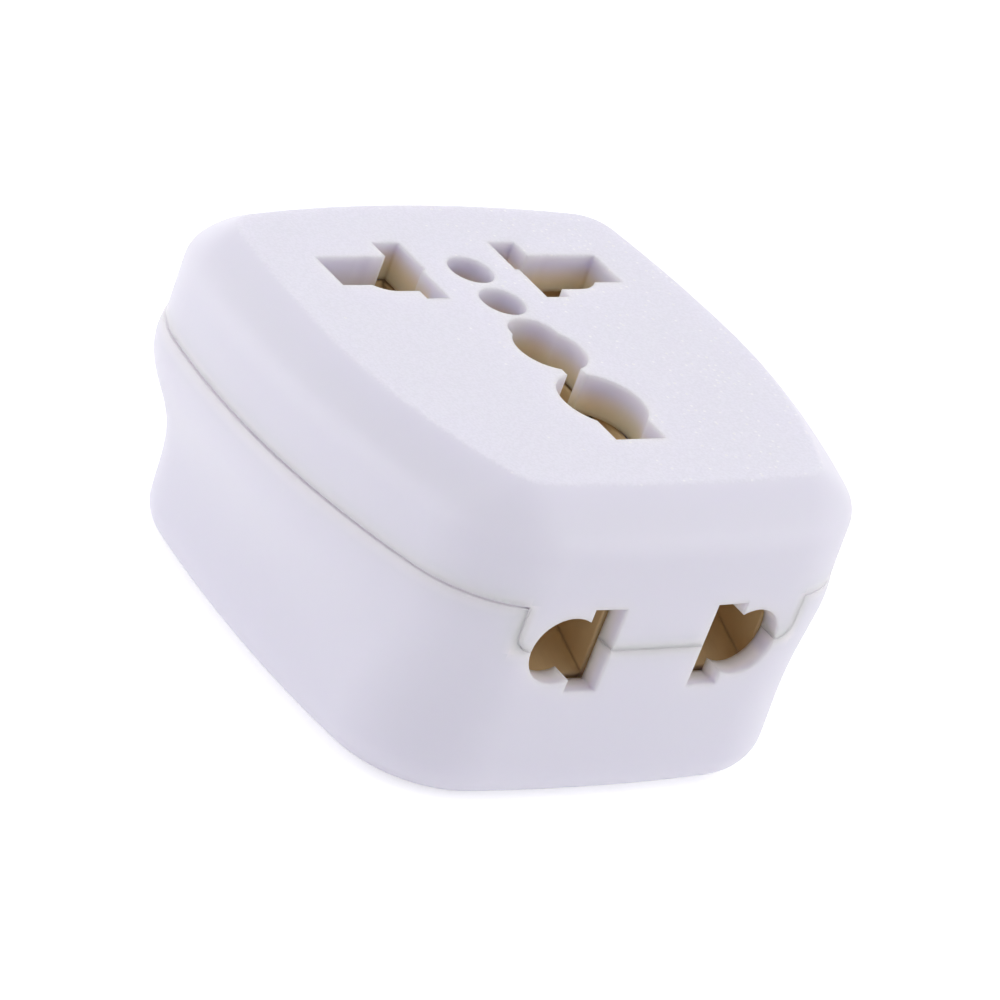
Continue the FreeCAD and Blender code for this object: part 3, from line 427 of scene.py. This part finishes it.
def housing_painted_light(tree, colour):
    """Painted light on a housing: paler beside its joint lines and in the side outlet, and a warm
    painted reflection from the brass deep in its openings.
    """
    walls = place_group(tree, OPENING_PAINTED_LIGHT)
    line = place_group(tree, JOINT_LINE, Rub_reach=PAINTED_JOINT_LIGHT_REACH)
    # Painted light: paler beside the joint lines and on the outlet walls, warm brass light deep in
    # the openings.
    colour = blend(tree, line.outputs["Painted joint light"], colour, PAINTED_JOINT_LIGHT_COLOUR)
    colour = blend(tree, walls.outputs["Painted outlet light"], colour, PAINTED_OUTLET_LIGHT_COLOUR)
    return blend(tree, walls.outputs["Painted brass light"], colour, PAINTED_BRASS_LIGHT_COLOUR)


def translucent(shader):
    """Light sinks a little way into a white moulding, which softens its edges."""
    shader.inputs["Subsurface Weight"].default_value = 1.0
    shader.inputs["Subsurface Radius"].default_value = SINK_SPREAD
    shader.inputs["Subsurface Scale"].default_value = SINK_DEPTH


def small_plastic(name, colour, roughness):
    """A satin moulded plastic for the small inner pieces."""
    material, tree, shader = new_material(name)
    tone = place_group(tree, MOULDING_TONE, Clean=colour, Shade=shade_of(colour, 0.93),
                       Patches_per_metre=70.0, Strength=0.35)
    tree.links.new(tone.outputs["Colour"], shader.inputs["Base Color"])
    shader.inputs["Roughness"].default_value = roughness
    shader.inputs["IOR"].default_value = PLASTIC_IOR
    normal = bump(tree, tone.outputs["Satin"], FINE_RELIEF, 0.25,
                  soft_arris(tree, SMALL_PIECE_ROUND))
    tree.links.new(normal, shader.inputs["Normal"])
    return material


def housing_plastic():
    """The back housing's plastic: satin and translucent, with painted light that makes it paler
    inside the side outlet.
    """
    material, tree, shader = new_material("White housing plastic")
    tone = place_group(tree, MOULDING_TONE, Clean=HOUSING_COLOUR,
                       Shade=shade_of(HOUSING_COLOUR, 0.95),
                       Patches_per_metre=70.0, Strength=0.3)
    colour = housing_painted_light(tree, tone.outputs["Colour"])
    tree.links.new(colour, shader.inputs["Base Color"])
    shader.inputs["Roughness"].default_value = 0.48
    shader.inputs["IOR"].default_value = PLASTIC_IOR
    translucent(shader)
    normal = bump(tree, tone.outputs["Satin"], FINE_RELIEF, 0.25, housing_arris(tree))
    tree.links.new(normal, shader.inputs["Normal"])
    return material


def cover_plastic():
    """The cover's plastic: satin sides, a spark-textured face with painted glints, and walls in
    its openings warmed by painted brass light.
    """
    material, tree, shader = new_material("White cover plastic")
    tone = place_group(tree, MOULDING_TONE, Clean=COVER_COLOUR,
                       Shade=shade_of(COVER_COLOUR, 0.95),
                       Patches_per_metre=70.0, Strength=0.3)
    spark = place_group(tree, SPARK_TEXTURE, Grain_per_metre=4200.0, Tips_per_metre=1300.0,
                        Tip_size=0.20, Face_level=FACE_LEVEL, Level_band=FACE_FADE)
    colour = housing_painted_light(tree, tone.outputs["Colour"])
    mottled = blend(tree, spark.outputs["Mottle"], shade_of(COVER_COLOUR, 0.965),
                    shade_of(COVER_COLOUR, 1.02))
    colour = blend(tree, spark.outputs["Face mask"], colour, mottled)
    # Painted glints: bright specks in the base colour.
    colour = blend(tree, spark.outputs["Glint"], colour, PAINTED_GLINT_COLOUR)
    tree.links.new(colour, shader.inputs["Base Color"])
    shader.inputs["IOR"].default_value = PLASTIC_IOR
    polish = product(tree, spark.outputs["Glint"], 0.25)
    tree.links.new(maths(tree, "SUBTRACT", 0.46, polish), shader.inputs["Roughness"])
    translucent(shader)
    normal = bump(tree, tone.outputs["Satin"], FINE_RELIEF, 0.25, housing_arris(tree))
    normal = bump(tree, spark.outputs["Height"], FACE_RELIEF, 0.6, normal)
    tree.links.new(normal, shader.inputs["Normal"])
    return material


def sheet_metal(name, bright, dull, smooth, rough, metallic=1.0, edge_round=SHEET_ROUND):
    """A pressed or drawn metal with rolling lines and dull patches."""
    material, tree, shader = new_material(name)
    sheet = place_group(tree, DRAWN_METAL, Bright=bright, Dull=dull, Smooth=smooth, Rough=rough)
    tree.links.new(sheet.outputs["Colour"], shader.inputs["Base Color"])
    tree.links.new(sheet.outputs["Roughness"], shader.inputs["Roughness"])
    shader.inputs["Metallic"].default_value = metallic
    normal = bump(tree, sheet.outputs["Height"], FINE_RELIEF, 0.4, soft_arris(tree, edge_round))
    tree.links.new(normal, shader.inputs["Normal"])
    return material


# Each finish with the nodes that have it.
FINISHES = [
    (cover_plastic(), ["front_cover"]),
    (housing_plastic(), ["back_housing"]),
    (small_plastic("Carrier plastic", CARRIER_COLOUR, 0.55), ["contact_carrier"]),
    (small_plastic("Spindle plastic", SPINDLE_COLOUR, 0.42), ["plug_spindle", "spindle_retainer"]),
    (sheet_metal("Contact brass", BRASS_COLOUR, BRASS_DULL, 0.45, 0.65, 0.35, CONTACT_ROUND),
     ["neutral_contact", "line_contact", "side_neutral_contact", "side_line_contact",
      "neutral_wiper", "line_wiper", "earth_contact", "link_rivets", "wiper_rivets",
      "earth_rivets"]),
    (sheet_metal("Nickel plated blade", NICKEL_COLOUR, NICKEL_DULL, 0.15, 0.32),
     ["neutral_blade", "line_blade"]),
    (sheet_metal("Spring steel", STEEL_COLOUR, STEEL_DULL, 0.2, 0.4), ["friction_spring"]),
    (sheet_metal("Zinc plated screw", STEEL_COLOUR, STEEL_DULL, 0.18, 0.35),
     ["cover_screws", "retainer_screws"]),
]


def finish_nodes():
    """Gives every CAD node its finish."""
    for material, nodes in FINISHES:
        for node in nodes:
            mesh = bpy.data.objects[node].data
            mesh.materials.clear()
            mesh.materials.append(material)


# Studio

def seen_directly(tree):
    """1 for a ray from the camera, a reflection or a clear piece."""
    path = tree.nodes.new("ShaderNodeLightPath")
    seen = maths(tree, "MAXIMUM", path.outputs["Is Camera Ray"], path.outputs["Is Glossy Ray"])
    return maths(tree, "MAXIMUM", seen, path.outputs["Is Transmission Ray"])


def floor_material():
    """White to the eye, shaded by what stands on it, clear from below."""
    material = bpy.data.materials.new("Pale studio floor")
    material.use_nodes = True
    tree = material.node_tree
    tree.nodes.clear()
    diffuse = tree.nodes.new("ShaderNodeBsdfDiffuse")
    diffuse.inputs["Color"].default_value = FLOOR_COLOUR
    lift = tree.nodes.new("ShaderNodeEmission")
    extra = product(tree, seen_directly(tree), FLOOR_LIFT - FLOOR_GLOW)
    tree.links.new(maths(tree, "ADD", extra, FLOOR_GLOW), lift.inputs["Strength"])
    both = tree.nodes.new("ShaderNodeAddShader")
    tree.links.new(diffuse.outputs[0], both.inputs[0])
    tree.links.new(lift.outputs[0], both.inputs[1])
    clear = tree.nodes.new("ShaderNodeBsdfTransparent")
    side = tree.nodes.new("ShaderNodeMixShader")
    under = tree.nodes.new("ShaderNodeNewGeometry").outputs["Backfacing"]
    tree.links.new(under, side.inputs["Fac"])
    tree.links.new(both.outputs[0], side.inputs[1])
    tree.links.new(clear.outputs[0], side.inputs[2])
    end = tree.nodes.new("ShaderNodeOutputMaterial")
    tree.links.new(side.outputs[0], end.inputs["Surface"])
    return material


def white_floor():
    """A plain floor just under the adapter."""
    half = FLOOR_HALF_WIDTH
    corners = [(-half, -half), (half, -half), (half, half), (-half, half)]
    mesh = bpy.data.meshes.new("floor")
    mesh.from_pydata([(x, y, -FLOOR_GAP) for x, y in corners], [], [(0, 1, 2, 3)])
    mesh.materials.append(floor_material())
    floor = bpy.data.objects.new("floor", mesh)
    bpy.context.scene.collection.objects.link(floor)


def white_world():
    """Even studio light that the camera sees as plain white."""
    world = bpy.data.worlds.new("Studio")
    bpy.context.scene.world = world
    world.use_nodes = True
    tree = world.node_tree
    tree.nodes.clear()
    back = tree.nodes.new("ShaderNodeBackground")
    extra = product(tree, seen_directly(tree), 1.0 - AMBIENT)
    tree.links.new(maths(tree, "ADD", extra, AMBIENT), back.inputs["Strength"])
    end = tree.nodes.new("ShaderNodeOutputWorld")
    tree.links.new(back.outputs[0], end.inputs["Surface"])


def studio_lamps():
    """Wide, soft lamps round the adapter, each given by where its light comes from."""
    for name, direction, level in LAMPS:
        data = bpy.data.lights.new(name, "SUN")
        data.energy = level * math.pi
        data.angle = math.radians(LAMP_WIDTH)
        lamp = bpy.data.objects.new(name, data)
        lamp.rotation_mode = "QUATERNION"
        lamp.rotation_quaternion = Vector(direction).to_track_quat("Z", "Y")
        bpy.context.scene.collection.objects.link(lamp)


def photo_camera():
    """The photograph's viewing place: a long lens, turned about its own axis."""
    data = bpy.data.cameras.new("camera")
    data.lens = CAMERA_LENS
    data.sensor_width = 36.0
    data.clip_start = 0.05
    data.clip_end = 20.0
    camera = bpy.data.objects.new("camera", data)
    camera.location = CAMERA_PLACE
    camera.rotation_euler = tuple(math.radians(angle) for angle in CAMERA_TURN)
    bpy.context.scene.collection.objects.link(camera)
    bpy.context.scene.camera = camera


finish_nodes()
white_floor()
white_world()
studio_lamps()
photo_camera()

bpy.context.scene.view_settings.view_transform = "Standard"
